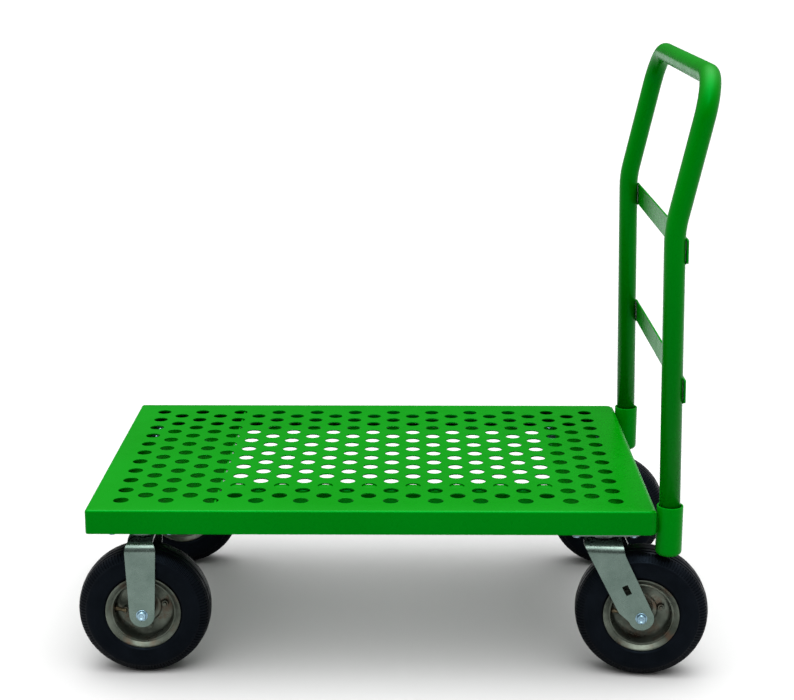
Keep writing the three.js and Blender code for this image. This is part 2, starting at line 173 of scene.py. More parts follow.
# %% A helper for node trees
class Finish:
    def __init__(self, name):
        self.material = bpy.data.materials.new(name)
        self.material.use_nodes = True
        self.tree = self.material.node_tree
        self.shader = self.tree.nodes["Principled BSDF"]
        self.place = self.tree.nodes.new("ShaderNodeTexCoord").outputs["Object"]

    def node(self, kind, links, values):
        """A node with its linked sockets and its constant ones."""
        made = self.tree.nodes.new(kind)
        for socket, source in links.items():
            self.tree.links.new(source, made.inputs[socket])
        for socket, value in values.items():
            made.inputs[socket].default_value = value
        return made

    def noise(self, scale, detail=3.0, roughness=0.5, stretch=None):
        vector = self.place
        if stretch:
            mapping = self.node("ShaderNodeMapping", {"Vector": self.place}, {"Scale": stretch})
            vector = mapping.outputs["Vector"]
        values = {"Scale": scale, "Detail": detail, "Roughness": roughness}
        return self.node("ShaderNodeTexNoise", {"Vector": vector}, values).outputs["Fac"]

    def ramp(self, source, low, high, from_low=0.35, from_high=0.65):
        """Turns a pattern into a value that runs from low to high."""
        values = {"From Min": from_low, "From Max": from_high, "To Min": low, "To Max": high}
        return self.node("ShaderNodeMapRange", {"Value": source}, values).outputs["Result"]

    def mix(self, factor, first, second):
        """A colour between two. The first may itself come from a node."""
        made = self.tree.nodes.new("ShaderNodeMix")
        made.data_type = "RGBA"
        self.tree.links.new(factor, made.inputs["Factor"])
        self.set_colour(made, "A", first)
        self.set_colour(made, "B", second)
        return made.outputs[2]

    def set_colour(self, mix_node, name, colour):
        socket = [s for s in mix_node.inputs if s.name == name and s.type == "RGBA"][0]
        if isinstance(colour, tuple):
            socket.default_value = (*colour, 1)
        else:
            self.tree.links.new(colour, socket)

    def colour(self, output):
        self.tree.links.new(output, self.shader.inputs["Base Color"])

    def rough(self, output):
        self.tree.links.new(output, self.shader.inputs["Roughness"])

    def bump(self, height, strength, distance):
        made = self.node("ShaderNodeBump", {"Height": height}, {"Strength": strength, "Distance": distance})
        self.tree.links.new(made.outputs["Normal"], self.shader.inputs["Normal"])

    def even(self, **values):
        """Sets what is the same all over the surface, such as Metallic."""
        for name, value in values.items():
            self.shader.inputs[name.replace("_", " ")].default_value = value


# %% [markdown]
# Powder coat is a plastic skin baked on the steel. It is one colour, but it is a little thicker in some
# places than in others, and its surface has the fine waves that painters call orange peel. The waves could
# be real ones in the mesh, but they are so small that a bump does the same at no cost.


# %% Green powder coat
def green_powder_coat():
    made = Finish("green_powder_coat")
    broad = made.noise(3.0, 2.0)
    made.colour(made.mix(made.ramp(broad, 0, 1), (0.0, 0.112, 0.0004), (0.0, 0.124, 0.0012)))
    made.rough(made.ramp(made.noise(40, 2.0), 0.25, 0.31))
    made.bump(made.noise(600, 1.0), 0.04, 0.0004)
    made.even(Metallic=0.12, IOR=1.17, Specular_Tint=(0.0, 1.0, 0.6, 1))
    return made.material


# %% [markdown]
# Zinc plate is bright but not a mirror. The steel under it was rolled, so it has faint streaks, and handling
# leaves dull patches.


# %% Zinc finishes
def zinc_plate(name, dark, light, rough_low, rough_high):
    made = Finish(name)
    patches = made.noise(22, 5.0, 0.6)
    made.colour(made.mix(made.ramp(patches, 0, 1, 0.3, 0.7), dark, light))
    made.rough(made.ramp(made.noise(60, 5.0, 0.65), rough_low, rough_high, 0.3, 0.7))
    made.bump(made.noise(300, 3.0, 0.5, (1, 1, 0.25)), 0.10, 0.0003)
    made.even(Metallic=0.9)
    return made.material


# %% [markdown]
# The rims are zinc too, but their yellow passivate has aged to olive and they carry brown stains.


# %% Rim zinc
def rim_zinc():
    made = Finish("rim_zinc")
    patches = made.noise(18, 4.0, 0.6)
    base = made.mix(made.ramp(patches, 0, 1), (0.035, 0.042, 0.032), (0.12, 0.138, 0.112))
    stains = made.ramp(made.noise(30, 6.0, 0.7), 0, 0.8, 0.5, 0.66)
    made.colour(made.mix(stains, base, (0.075, 0.045, 0.028)))
    made.rough(made.ramp(made.noise(55, 4.0), 0.24, 0.46))
    made.bump(made.noise(260, 3.0), 0.10, 0.0003)
    made.even(Metallic=0.85)
    return made.material


# %% [markdown]
# Tyre rubber is a blue-black with a dull bloom on it. The bump is the fine grain left by the mould.


# %% Rubber and brass
def tyre_rubber(name, dark, bloom, rough_low, rough_high):
    made = Finish(name)
    made.colour(made.mix(made.ramp(made.noise(26, 5.0, 0.6), 0, 1), dark, bloom))
    made.rough(made.ramp(made.noise(70, 4.0), rough_low, rough_high))
    made.bump(made.noise(900, 2.0), 0.22, 0.0003)
    made.even(Specular_IOR_Level=0.06, Specular_Tint=(0.45, 0.7, 1.0, 1))
    return made.material


green = green_powder_coat()
zinc = zinc_plate("zinc_plate", (0.095, 0.138, 0.118), (0.145, 0.196, 0.172), 0.20, 0.33)
bolt_zinc = zinc_plate("bolt_zinc", (0.16, 0.26, 0.33), (0.28, 0.42, 0.50), 0.14, 0.28)
bearing_steel = zinc_plate("bearing_steel", (0.10, 0.10, 0.095), (0.19, 0.19, 0.18), 0.25, 0.45)
valve_brass = zinc_plate("valve_brass", (0.10, 0.08, 0.045), (0.17, 0.14, 0.085), 0.25, 0.45)
rim_finish = rim_zinc()
tyre_finish = tyre_rubber("tyre_rubber", (0.0009, 0.0010, 0.0013), (0.0020, 0.0024, 0.0034), 0.34, 0.52)
tube_rubber = tyre_rubber("tube_rubber", (0.012, 0.012, 0.012), (0.025, 0.025, 0.025), 0.5, 0.7)
print("finishes:", [m.name for m in bpy.data.materials if m.use_nodes])

# %% [markdown]
# ## The deck
# The real deck is one sheet: holes are punched in it and its four sides are then folded down. It is made the
# same way here. The flat outline and 242 circles are drawn as edges, one operator fills what lies between
# them, and the outer edge is then drawn out step by step round the fold. The end by the handle is folded
# round a larger radius than the other three sides.

# %% Deck sizes, from the frame
skirt_low, skirt_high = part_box("deck_skirt")
deck_centre = (skirt_low + skirt_high) / 2
deck_half = (skirt_high - skirt_low) / 2
HOLE_ROWS = 21
HOLES_PER_ROW = 12
HOLE_RADIUS = 12.7 * MM
HOLE_SIDES = 32
ROW_PITCH = 25.4 * MM
FRONT_MARGIN = 50.8 * MM
HANDLE_END_MARGIN = 61.7 * MM
FIRST_HOLE_X = skirt_low.x + FRONT_MARGIN
HOLE_PITCH = (skirt_high.x - HANDLE_END_MARGIN - FIRST_HOLE_X) / (HOLES_PER_ROW - 1)
SHEET = 2.5 * MM
SIDE_FOLD = 4 * MM
HANDLE_END_FOLD = 11 * MM
CORNER = 6 * MM
HANDLE_END_CORNER = 14 * MM
print("deck is %.0f by %.0f mm" % (2000 * deck_half.x, 2000 * deck_half.y))


# %% The flat part, with its holes
def hole_centres():
    for row in range(HOLE_ROWS):
        staggered = row % 2
        y = deck_centre.y + ROW_PITCH * (row - (HOLE_ROWS - 1) / 2)
        for i in range(HOLES_PER_ROW - staggered):
            yield FIRST_HOLE_X + HOLE_PITCH * (i + staggered / 2), y


def fold_radius(outward):
    return SIDE_FOLD + (HANDLE_END_FOLD - SIDE_FOLD) * max(0.0, outward.x) ** 2


def deck_outline(steps=8):
    """Points round the deck and the way out at each, on the line where the fold ends."""
    points = []
    for quarter, (sx, sy) in enumerate(((1, 1), (-1, 1), (-1, -1), (1, -1))):
        corner = HANDLE_END_CORNER if sx > 0 else CORNER
        centre = Vector((deck_centre.x + sx * (deck_half.x - corner), sy * (deck_half.y - corner), 0))
        for i in range(steps + 1):
            angle = math.pi / 2 * (quarter + i / steps)
            out = Vector((math.cos(angle), math.sin(angle), 0))
            points.append((centre + out * corner, out))
    return points


def punched_top(bm, rim):
    """The flat top with its holes. It ends where the folds begin, and gives its outer edges."""
    top = Vector((0, 0, skirt_high.z))
    verts = [bm.verts.new(point - out * fold_radius(out) + top) for point, out in rim]
    outer = [bm.edges.new((verts[i - 1], verts[i])) for i in range(len(verts))]
    edges = list(outer)
    for x, y in hole_centres():
        ring = bmesh.ops.create_circle(bm, segments=HOLE_SIDES, radius=HOLE_RADIUS,
                                       matrix=Matrix.Translation((x, y, top.z)))
        edges += edges_of(ring["verts"])
    bmesh.ops.triangle_fill(bm, use_beauty=True, use_dissolve=False, edges=edges)
    return outer


# %% Folding the sides down
FOLD_STEPS = 6


def fold_sides(bm, loop, rim):
    """Draws the outer edges round a quarter circle and then straight down to the foot of the skirt."""
    for step in range(1, FOLD_STEPS + 2):
        fresh, loop = extruded(bm, loop)
        for vert in fresh:
            here = Vector((vert.co.x, vert.co.y, 0))
            point, out = min(rim, key=lambda place: (place[0] - here).length)
            radius = fold_radius(out)
            if step <= FOLD_STEPS:
                angle = math.pi / 2 * step / FOLD_STEPS
                reach = point - out * radius * (1 - math.sin(angle))
                vert.co = (reach.x, reach.y, skirt_high.z - radius * (1 - math.cos(angle)))
            else:
                vert.co = (point.x, point.y, skirt_low.z)


def deck_pan():
    bm = bmesh.new()
    rim = deck_outline()
    fold_sides(bm, punched_top(bm, rim), rim)
    bmesh.ops.recalc_face_normals(bm, faces=bm.faces)
    flat = max(bm.faces, key=lambda face: abs(face.normal.z))
    if flat.normal.z < 0:
        bmesh.ops.reverse_faces(bm, faces=bm.faces)
    piece = finish_piece("deck_pan", bm, green, "frame", ["deck_sheet", "deck_skirt"])
    thicken(piece, SHEET)
    return soften(piece, 0.5 * MM, 2, 50)


deck = deck_pan()
print("deck pan:", len(deck.data.polygons), "faces before its modifiers")

# %% [markdown]
# ## Folded sections under the deck
# The cross channels that carry the casters, the stiffener and the return lips are all strips of sheet with
# folds in them. `folded_strip` takes the outline of the strip's middle line, draws it out to its length
# and gives it thickness. The folds are rounded by a bevel.


# %% Folded strips
def folded_strip(name, points, thickness, start, end, plane, replaces=(), fold=3 * MM):
    """A strip whose outline (a, b) is drawn along from start to end. plane(a, b, along) is a place."""
    bm = bmesh.new()
    _, edges = outline_loop(bm, points, lambda a, b: plane(a, b, start), closed=False)
    moved, _ = extruded(bm, edges)
    shift = Vector(plane(0, 0, end)) - Vector(plane(0, 0, start))
    bmesh.ops.translate(bm, verts=moved, vec=shift)
    folds = [e for e in bm.edges if len(e.link_faces) == 2]
    bmesh.ops.bevel(bm, geom=folds, offset=fold, segments=4, profile=0.5, affect="EDGES", material=-1)
    bmesh.ops.recalc_face_normals(bm, faces=bm.faces)
    piece = finish_piece(name, bm, green, "frame", replaces)
    thicken(piece, thickness, 0.0)
    return soften(piece, 0.4 * MM)


def across(a, b, along):
    return (a, along, b)


def lengthways(a, b, along):
    return (along, a, b)


# %% Cross channels
for name in ("front_cross_channel", "rear_cross_channel"):
    low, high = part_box(name)
    half = 1.5 * MM
    rear, front, web = low.x + half, high.x - half, low.z + half
    strip = [(rear, high.z), (rear, web), (front, web), (front, high.z)]
    folded_strip(name + "_steel", strip, 2 * half, low.y, high.y, across, [name], 4 * MM)

# %% Stiffener
low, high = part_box("side_stiffener")
half = SHEET / 2
leg = low.y + half
strip = [(leg, low.z), (leg, high.z - half), (high.y, high.z - half)]
folded_strip("side_stiffener_steel", strip, SHEET, low.x, high.x, lengthways, ["side_stiffener"])

# %% Return lips
LIP_WIDTH = 40 * MM
lip_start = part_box("front_cross_channel")[1].x + 0.5 * MM
lip_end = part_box("rear_cross_channel")[0].x - 0.5 * MM
for place, side in (("near", -1), ("far", 1)):
    wall = side * (deck_half.y - SHEET)
    strip = [(wall, skirt_low.z + half), (wall - side * LIP_WIDTH, skirt_low.z + half)]
    folded_strip("deck_return_lip_" + place, strip, SHEET, lip_start, lip_end, lengthways)
print("under the deck: two channels, a stiffener and two return lips")

# %% [markdown]
# ## Weld beads
# A weld is a row of small overlapping drops of metal. One bead is a thin tube whose radius swells and shrinks
# along its length: each step draws the ring of edges on and scales it.


# %% A weld bead
BEAD_PITCH = 3 * MM
BEAD_TIP = 0.4


def weld_bead(bm, start, end, radius):
    run = Vector(end) - Vector(start)
    turn = run.to_track_quat("Z", "Y").to_matrix().to_4x4()
    ring = bmesh.ops.create_circle(bm, segments=8, radius=BEAD_TIP * radius, cap_ends=True,
                                   matrix=Matrix.Translation(start) @ turn)
    loop = edges_of(ring["verts"])
    steps = max(4, 4 * round(run.length / BEAD_PITCH))
    size = BEAD_TIP
    for step in range(1, steps + 1):
        fresh, loop = extruded(bm, loop)
        swell = BEAD_TIP if step == steps else 0.82 + 0.18 * math.cos(math.pi * step / 2)
        middle = Vector(start) + run * step / steps
        bmesh.ops.translate(bm, verts=fresh, vec=run / steps)
        bmesh.ops.scale(bm, verts=fresh, vec=(swell / size,) * 3, space=Matrix.Translation(-middle))
        size = swell
    bmesh.ops.edgeloop_fill(bm, edges=loop)
    bmesh.ops.recalc_face_normals(bm, faces=bm.faces)


# %% [markdown]
# ## Handle sockets
# Each socket is a cup welded to the end of the deck, and the handle stands in it. A cup is round, so its
# outline is turned round its axis. Beads of weld run up both sides where it meets the deck.

# %% Sockets
SOCKET_ROUND = 8 * MM
SOCKET_FLOOR = 6 * MM
SOCKET_BORE = 18.1 * MM
for place in ("near", "far"):
    low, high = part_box("handle_socket_" + place)
    centre = (low + high) / 2
    radius = (high.x - low.x) / 2
    outline = [(0, low.z)] + arc((radius - SOCKET_ROUND, low.z + SOCKET_ROUND), SOCKET_ROUND, -90, 0, 8)
    outline += arc((radius - 1 * MM, high.z - 1 * MM), 1 * MM, 0, 90, 3)
    outline += arc((SOCKET_BORE + 0.6 * MM, high.z - 0.6 * MM), 0.6 * MM, 90, 180, 2)
    outline += [(SOCKET_BORE, low.z + SOCKET_FLOOR), (0, low.z + SOCKET_FLOOR)]
    bm = bmesh.new()
    spun(bm, outline, (0, 0, 1), about_z, 64, closed=False)
    finish_piece("handle_socket_cup_" + place, bm, green, "frame",
                 ["handle_socket_" + place], Matrix.Translation((centre.x, centre.y, 0)))
    bm = bmesh.new()
    for side in (-1, 1):
        x, y = skirt_high.x + 0.6 * MM, centre.y + side * 7 * MM
        weld_bead(bm, (x, y, skirt_low.z + 2 * MM), (x, y, skirt_high.z - 12 * MM), 1.7 * MM)
    finish_piece("socket_weld_" + place, bm, green, "frame")
    print("socket %s stands at y = %.0f mm" % (place, 1000 * centre.y))

# %% [markdown]
# ## The handle
# The handle is one tube, bent four times. A ring of edges is drawn straight on to where a bend begins, then
# turned round the middle of that bend, and so on to the other foot. Solidify then gives the tube its wall.


# %% Bent tubes
def bent_tube(bm, corners, bends, radius, sides=48):
    """A tube from corner to corner, bent round each inner corner to the radius in bends."""
    along = (corners[1] - corners[0]).normalized()
    turn = along.to_track_quat("Z", "Y").to_matrix().to_4x4()
    ring = bmesh.ops.create_circle(bm, segments=sides, radius=radius,
                                   matrix=Matrix.Translation(corners[0]) @ turn)
    loop = edges_of(ring["verts"])
    place = corners[0]
    for i in range(1, len(corners)):
        last = i == len(corners) - 1
        along = (corners[i] - corners[i - 1]).normalized()
        after = along if last else (corners[i + 1] - corners[i]).normalized()
        angle = along.angle(after)
        setback = 0 if last else bends[i - 1] * math.tan(angle / 2)
        stop = corners[i] - along * setback
        fresh, loop = extruded(bm, loop)
        bmesh.ops.translate(bm, verts=fresh, vec=stop - place)
        if not last:
            axis = along.cross(after).normalized()
            centre = stop + axis.cross(along) * bends[i - 1]
            spun_on = bmesh.ops.spin(bm, geom=loop, cent=centre, axis=axis, dvec=(0, 0, 0), angle=angle,
                                     steps=max(4, round(math.degrees(angle) / 4)), use_merge=False)
            loop = [g for g in spun_on["geom_last"] if isinstance(g, bmesh.types.BMEdge)]
            place = corners[i] + after * setback
    bmesh.ops.remove_doubles(bm, verts=bm.verts, dist=0.00001)
    bmesh.ops.recalc_face_normals(bm, faces=bm.faces)


# %% Handle tube
TUBE_RADIUS = 16.7 * MM
TUBE_WALL = 3 * MM
INWARD_TILT = math.radians(1.2)
OUTWARD_LEAN = math.radians(12.5)
KNEE_HEIGHT = 746 * MM
KNEE_BEND = 160 * MM
CORNER_BEND = 64 * MM
FOOT_HEIGHT = 224 * MM
TOP_HEIGHT = 977 * MM
socket_low, socket_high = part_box("handle_socket_near")
socket_middle_z = (socket_low.z + SOCKET_FLOOR + socket_high.z) / 2
leg_y = -(socket_low.y + socket_high.y) / 2
knee_x = (socket_low.x + socket_high.x) / 2 - math.tan(INWARD_TILT) * (KNEE_HEIGHT - socket_middle_z)
foot_x = knee_x + math.tan(INWARD_TILT) * (KNEE_HEIGHT - FOOT_HEIGHT)
top_x = knee_x + math.tan(OUTWARD_LEAN) * (TOP_HEIGHT - KNEE_HEIGHT)
near_leg = [Vector((foot_x, -leg_y, FOOT_HEIGHT)), Vector((knee_x, -leg_y, KNEE_HEIGHT)),
            Vector((top_x, -leg_y, TOP_HEIGHT))]
far_leg = [Vector((p.x, leg_y, p.z)) for p in reversed(near_leg)]
bm = bmesh.new()
bent_tube(bm, near_leg + far_leg, [KNEE_BEND, CORNER_BEND, CORNER_BEND, KNEE_BEND], TUBE_RADIUS)
handle = finish_piece("handle_bent_tube", bm, green, "handle", ["handle_tube"])
thicken(handle, TUBE_WALL)
print("legs stand %.0f mm apart" % (2000 * leg_y))

# %% [markdown]
# ## Crossbars
# Two flat bars tie the legs together from behind. Each is a block with bevelled edges, leant like the legs,
# and at each leg a bead of weld runs along its top edge and another along its bottom edge.

# %% Crossbars
BAR_THICKNESS = 3.5 * MM
BAR_HEIGHT = 38 * MM
for name in ("handle_crossbar_upper", "handle_crossbar_lower"):
    low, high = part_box(name)
    centre = (low + high) / 2
    lean = Matrix.Translation(centre) @ Matrix.Rotation(-INWARD_TILT, 4, "Y")
    bm = bmesh.new()
    bmesh.ops.create_cube(bm, size=1)
    bmesh.ops.scale(bm, verts=bm.verts, vec=(BAR_THICKNESS, high.y - low.y, BAR_HEIGHT))
    upright = [e for e in bm.edges if abs(e.verts[0].co.x - e.verts[1].co.x) > 1 * MM]
    bmesh.ops.bevel(bm, geom=upright, offset=2.5 * MM, segments=3, profile=0.5, affect="EDGES", material=-1)
    bar = finish_piece(name + "_bar", bm, green, "handle", [name], lean)
    soften(bar, 0.8 * MM, 3)
    bm = bmesh.new()
    for side in (-1, 1):
        for edge in (-1, 1):
            x = -BAR_THICKNESS / 2 - 0.6 * MM
            y, z = side * leg_y, edge * (BAR_HEIGHT / 2 + 0.2 * MM)
            weld_bead(bm, (x, y - 6 * MM, z), (x, y + 6 * MM, z), 1.6 * MM)
    finish_piece(name + "_weld", bm, green, "handle", (), lean)
print("crossbars: 2")

# %% [markdown]
# ## Nuts, bolts and washers
# A hexagon bolt's head is a six-sided block whose corners are turned off to a cone, with a shallow dimple
# from the forge in the middle. `hexagon` draws it standing on z = 0: a ring of six edges is drawn up and
# bridged to a round ring on top. With a bore through it the same block is a nut. A thread is drawn as rings,
# without its helix, since nothing here is screwed far enough for the helix to show.


# %% Drawing rings on
def ring_of(bm, sides, radius, z=0.0):
    made = bmesh.ops.create_circle(bm, segments=sides, radius=radius, matrix=Matrix.Translation((0, 0, z)))
    return edges_of(made["verts"])


def drawn_on(bm, loop, rise=0.0, scale=1.0):
    """Draws a ring of edges on along z and scales the new ring about the z axis."""
    fresh, ring = extruded(bm, loop)
    bmesh.ops.translate(bm, verts=fresh, vec=(0, 0, rise))
    bmesh.ops.scale(bm, verts=fresh, vec=(scale, scale, 1))
    return ring


def placed(bm, place, make, *sizes):
    """Makes a shape in a bmesh of its own and adds it to bm at a place."""
    own = bmesh.new()
    make(own, *sizes)
    bmesh.ops.recalc_face_normals(own, faces=own.faces)
    bmesh.ops.transform(own, matrix=place, verts=own.verts)
    mesh = bpy.data.meshes.new("shape")
    own.to_mesh(mesh)
    own.free()
    bm.from_mesh(mesh)
    bpy.data.meshes.remove(mesh)


# %% Hexagons, washers and threaded ends
def hexagon(bm, across, height, bore=0.0):
    chamfer = 0.09 * across
    crown = 0.46 * across
    foot = ring_of(bm, 6, across / math.sqrt(3))
    shoulder = drawn_on(bm, foot, height - chamfer)
    top = ring_of(bm, 24, crown, height)
    bmesh.ops.bridge_loops(bm, edges=shoulder + top)
    if bore:
        mouth = drawn_on(bm, top, 0, (bore + 0.06 * across) / crown)
        throat = drawn_on(bm, mouth, -0.06 * across, bore / (bore + 0.06 * across))
        end = drawn_on(bm, throat, 0.06 * across - height)
        bmesh.ops.bridge_loops(bm, edges=end + foot)
    else:
        rim = drawn_on(bm, top, 0, 0.62)
        slope = drawn_on(bm, rim, -0.05 * across, 0.8)
        bmesh.ops.edgeloop_fill(bm, edges=slope)
        bmesh.ops.edgeloop_fill(bm, edges=foot)


def washer(bm, radius, bore, height):
    soft = 0.2 * height
    outline = [(bore, 0), (radius - soft, 0), (radius, soft), (radius, height - soft),
               (radius - soft, height), (bore, height)]
    spun(bm, outline, (0, 0, 1), about_z, 40)


def threaded_rod(bm, radius, length, thread, pitch):
    """A rod up from z = 0 whose last stretch has a thread, with a chamfer at its tip."""
    root = 0.88 * radius
    outline = [(0, 0), (radius, 0), (radius, length - thread)]
    for turn in range(int(thread / pitch) - 1):
        z = length - thread + pitch * turn
        outline += [(root, z + 0.5 * pitch), (radius, z + pitch)]
    outline += [(root, length), (0, length)]
    spun(bm, outline, (0, 0, 1), about_z, 24, closed=False)


# %% [markdown]
# ## Blanks of sheet metal
# Plates and forks are cut from flat sheet. A blank is an outline with holes in it, all drawn as loops of
# edges, and one operator fills the space between them. `slot_points` gives a long hole with round ends.


# %% Flat blanks
def circle_points(x, y, radius, steps=24):
    return arc((x, y), radius, 0, 360 - 360 / steps, steps - 1)


def rounded_points(length, width, radius, steps=6):
    points = []
    for quarter, (sx, sy) in enumerate(((1, 1), (-1, 1), (-1, -1), (1, -1))):
        centre = (sx * (length / 2 - radius), sy * (width / 2 - radius))
        points += arc(centre, radius, 90 * quarter, 90 * quarter + 90, steps)
    return points


def slot_points(x, y, length, width, turn=0.0, radius=None):
    points = rounded_points(length, width, radius or 0.49 * width, 4)
    c, s = math.cos(turn), math.sin(turn)
    return [(x + a * c - b * s, y + a * s + b * c) for a, b in points]


def blank(bm, outline, holes, z=0.0):
    edges = []
    for points in [outline] + holes:
        edges += outline_loop(bm, points, lambda a, b: (a, b, z))[1]
    bmesh.ops.triangle_fill(bm, edges=edges, use_beauty=True)
    bmesh.ops.recalc_face_normals(bm, faces=bm.faces)
    if bm.faces[:][0].normal.z < 0:
        bmesh.ops.reverse_faces(bm, faces=bm.faces)


# %% [markdown]
# ## Caster plates
# Each caster hangs from a plate with four slots. The swivel casters' plates also carry the cup of the ball
# race. A bolt comes up through every slot and through the channel's web, with its nut inside the channel.

# %% Sizes of the casters
bodies = frame["record"]["behaviour"]["bodies"]
PLATE_THICKNESS = 5 * MM
SLOT_ALONG = 46 * MM
SLOT_TO_EDGE = 17.5 * MM
CHANNEL_WEB = 3 * MM
CASTERS = ["front_near", "front_far", "rear_near", "rear_far"]


def body_of(node):
    return next(body for body, members in bodies.items() if node in members)


def outward(name):
    return -1 if name.endswith("near") else 1


# %% Plates and their bolts
WEB_TOP = CHANNEL_WEB + 0.3 * MM
WASHER = (8.2 * MM, 4.2 * MM, 1.4 * MM)
BOLT_ACROSS = 12.7 * MM


def plate_bolt(bm):
    """Head and washer under the plate, washer and nut on the channel's web. The plate's top is z = 0."""
    down = Matrix.Rotation(math.pi, 4, "X")
    under = -PLATE_THICKNESS
    head = Matrix.Translation((0, 0, under - 1.6 * MM))
    placed(bm, Matrix.Translation((0, 0, under - 1.5 * MM)), washer, *WASHER)
    placed(bm, head @ down, hexagon, BOLT_ACROSS, 5.2 * MM)
    placed(bm, head, threaded_rod, 4 * MM, WEB_TOP - under + 11.5 * MM, 10 * MM, 1.25 * MM)
    placed(bm, Matrix.Translation((0, 0, WEB_TOP + 0.1 * MM)), washer, *WASHER)
    placed(bm, Matrix.Translation((0, 0, WEB_TOP + 1.6 * MM)), hexagon, BOLT_ACROSS, 6.5 * MM, 3.9 * MM)


for name in CASTERS:
    low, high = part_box(name + "_plate")
    centre = (low + high) / 2
    slot_y = (high.y - low.y) / 2 - SLOT_TO_EDGE
    slots = [(sx * SLOT_ALONG, sy * slot_y) for sx in (-1, 1) for sy in (-1, 1)]
    top = Matrix.Translation((centre.x, centre.y, high.z))
    bm = bmesh.new()
    blank(bm, rounded_points(high.x - low.x, high.y - low.y, 10 * MM),
          [slot_points(x, y, 18 * MM, 10 * MM) for x, y in slots])
    plate = finish_piece(name + "_top_plate", bm, zinc, "frame", [name + "_plate"], top)
    thicken(plate, PLATE_THICKNESS)
    soften(plate, 0.9 * MM)
    bm = bmesh.new()
    for x, y in slots:
        placed(bm, Matrix.Translation((x, y, 0)), plate_bolt)
    finish_piece(name + "_plate_bolts", bm, bolt_zinc, "frame", (), top)
print("plates: %d, each with 4 bolts" % len(CASTERS))

# %% [markdown]
# ## Swivel races
# Under the plate of a swivel caster a pressed cup covers a ring of balls. The balls roll between the plate
# and a race on the fork's crown, and a kingpin with a nut holds the two together.

# %% Race cups, balls and kingpins
CUP_RADIUS = 28.5 * MM
CUP_WALL = 3 * MM
CUP_DEPTH = 9.2 * MM
BALL_RADIUS = 3 * MM
BALL_CIRCLE = 18.5 * MM
BALLS = 18


def race_cup(bm):
    inner = CUP_RADIUS - CUP_WALL
    outline = [(inner, -CUP_DEPTH)]
    outline += arc((CUP_RADIUS - 1.2 * MM, 1.2 * MM - CUP_DEPTH), 1.2 * MM, -90, 0, 4)
    outline += arc((CUP_RADIUS + 2 * MM, -2 * MM), 2 * MM, 180, 90, 5)
    outline += [(inner, 0)]
    spun(bm, outline, (0, 0, 1), about_z, 72)


for name in ("rear_near", "rear_far"):
    pin_low, pin_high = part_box(name + "_kingpin")
    nut_low, nut_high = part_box(name + "_kingpin_nut")
    pin_radius = (pin_high.x - pin_low.x) / 2
    centre = (pin_low + pin_high) / 2
    under_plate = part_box(name + "_plate")[1].z - PLATE_THICKNESS
    axis = Matrix.Translation((centre.x, centre.y, 0))
    bm = bmesh.new()
    placed(bm, Matrix.Translation((0, 0, under_plate)), race_cup)
    finish_piece(name + "_race_cup", bm, zinc, "frame", (), axis)
    bm = bmesh.new()
    for i in range(BALLS):
        turn = Matrix.Rotation(2 * math.pi * i / BALLS, 4, "Z")
        bmesh.ops.create_icosphere(bm, subdivisions=2, radius=BALL_RADIUS,
                                   matrix=turn @ Matrix.Translation((BALL_CIRCLE, 0, under_plate - 4.6 * MM)))
    finish_piece(name + "_balls", bm, bearing_steel, body_of(name + "_ball_ring"),
                 [name + "_ball_ring"], axis)
    bm = bmesh.new()
    down = Matrix.Translation((0, 0, pin_high.z)) @ Matrix.Rotation(math.pi, 4, "X")
    placed(bm, down, threaded_rod, pin_radius, pin_high.z - pin_low.z, 8 * MM, 1.5 * MM)
    finish_piece(name + "_kingpin_bolt", bm, bolt_zinc, "frame", [name + "_kingpin"], axis)
    bm = bmesh.new()
    down = Matrix.Translation((0, 0, nut_high.z)) @ Matrix.Rotation(math.pi, 4, "X")
    placed(bm, down, hexagon, 19 * MM, nut_high.z - nut_low.z, pin_radius)
    finish_piece(name + "_kingpin_hex_nut", bm, bolt_zinc, "frame",
                 [name + "_kingpin_nut"], axis)
print("balls in each race:", BALLS)

# %% [markdown]
# ## Forks
# A fork starts as a long flat blank with a round end at each foot. It is then rolled over the wheel: the
# blank is cut across where the shoulders will be, and every point is moved to where the bend takes it. Points
# on the flat of the crown stay, points on the shoulder go round a quarter circle, and the rest hang down.

# %% Fork sizes
WHEEL_RADIUS = 108.5 * MM
FORK_THICKNESS = 4.5 * MM
FORK_OUTER = 43 * MM
SHOULDER = 22 * MM
FOOT_RADIUS = 20.5 * MM
CROWN_TOP = 236.5 * MM
BOSS_RADIUS = 21.5 * MM
BEND = SHOULDER - FORK_THICKNESS / 2
FLAT = FORK_OUTER - SHOULDER
ARC_LENGTH = BEND * math.pi / 2
AXLE_AT = FLAT + ARC_LENGTH + CROWN_TOP - SHOULDER - WHEEL_RADIUS
SHOULDER_CUTS = 10
AXLE_HOLE = 5.3 * MM
KINGPIN_HOLE = 7 * MM
TRAIL = 66 * MM
RAKE = math.atan2(TRAIL, CROWN_TOP - WHEEL_RADIUS)
print("a fork's blank is %.0f mm long" % (2000 * (AXLE_AT + FOOT_RADIUS)))


# %% Rolling a blank over the wheel
def rolled(along):
    """Where a distance along the blank, from its middle, ends up in (y, z)."""
    side = math.copysign(1, along)
    reach = abs(along)
    top = CROWN_TOP - FORK_THICKNESS / 2
    if reach <= FLAT:
        return along, top
    if reach <= FLAT + ARC_LENGTH:
        angle = (reach - FLAT) / BEND
        return side * (FLAT + BEND * math.sin(angle)), top - BEND * (1 - math.cos(angle))
    return side * (FLAT + BEND), top - BEND - (reach - FLAT - ARC_LENGTH)


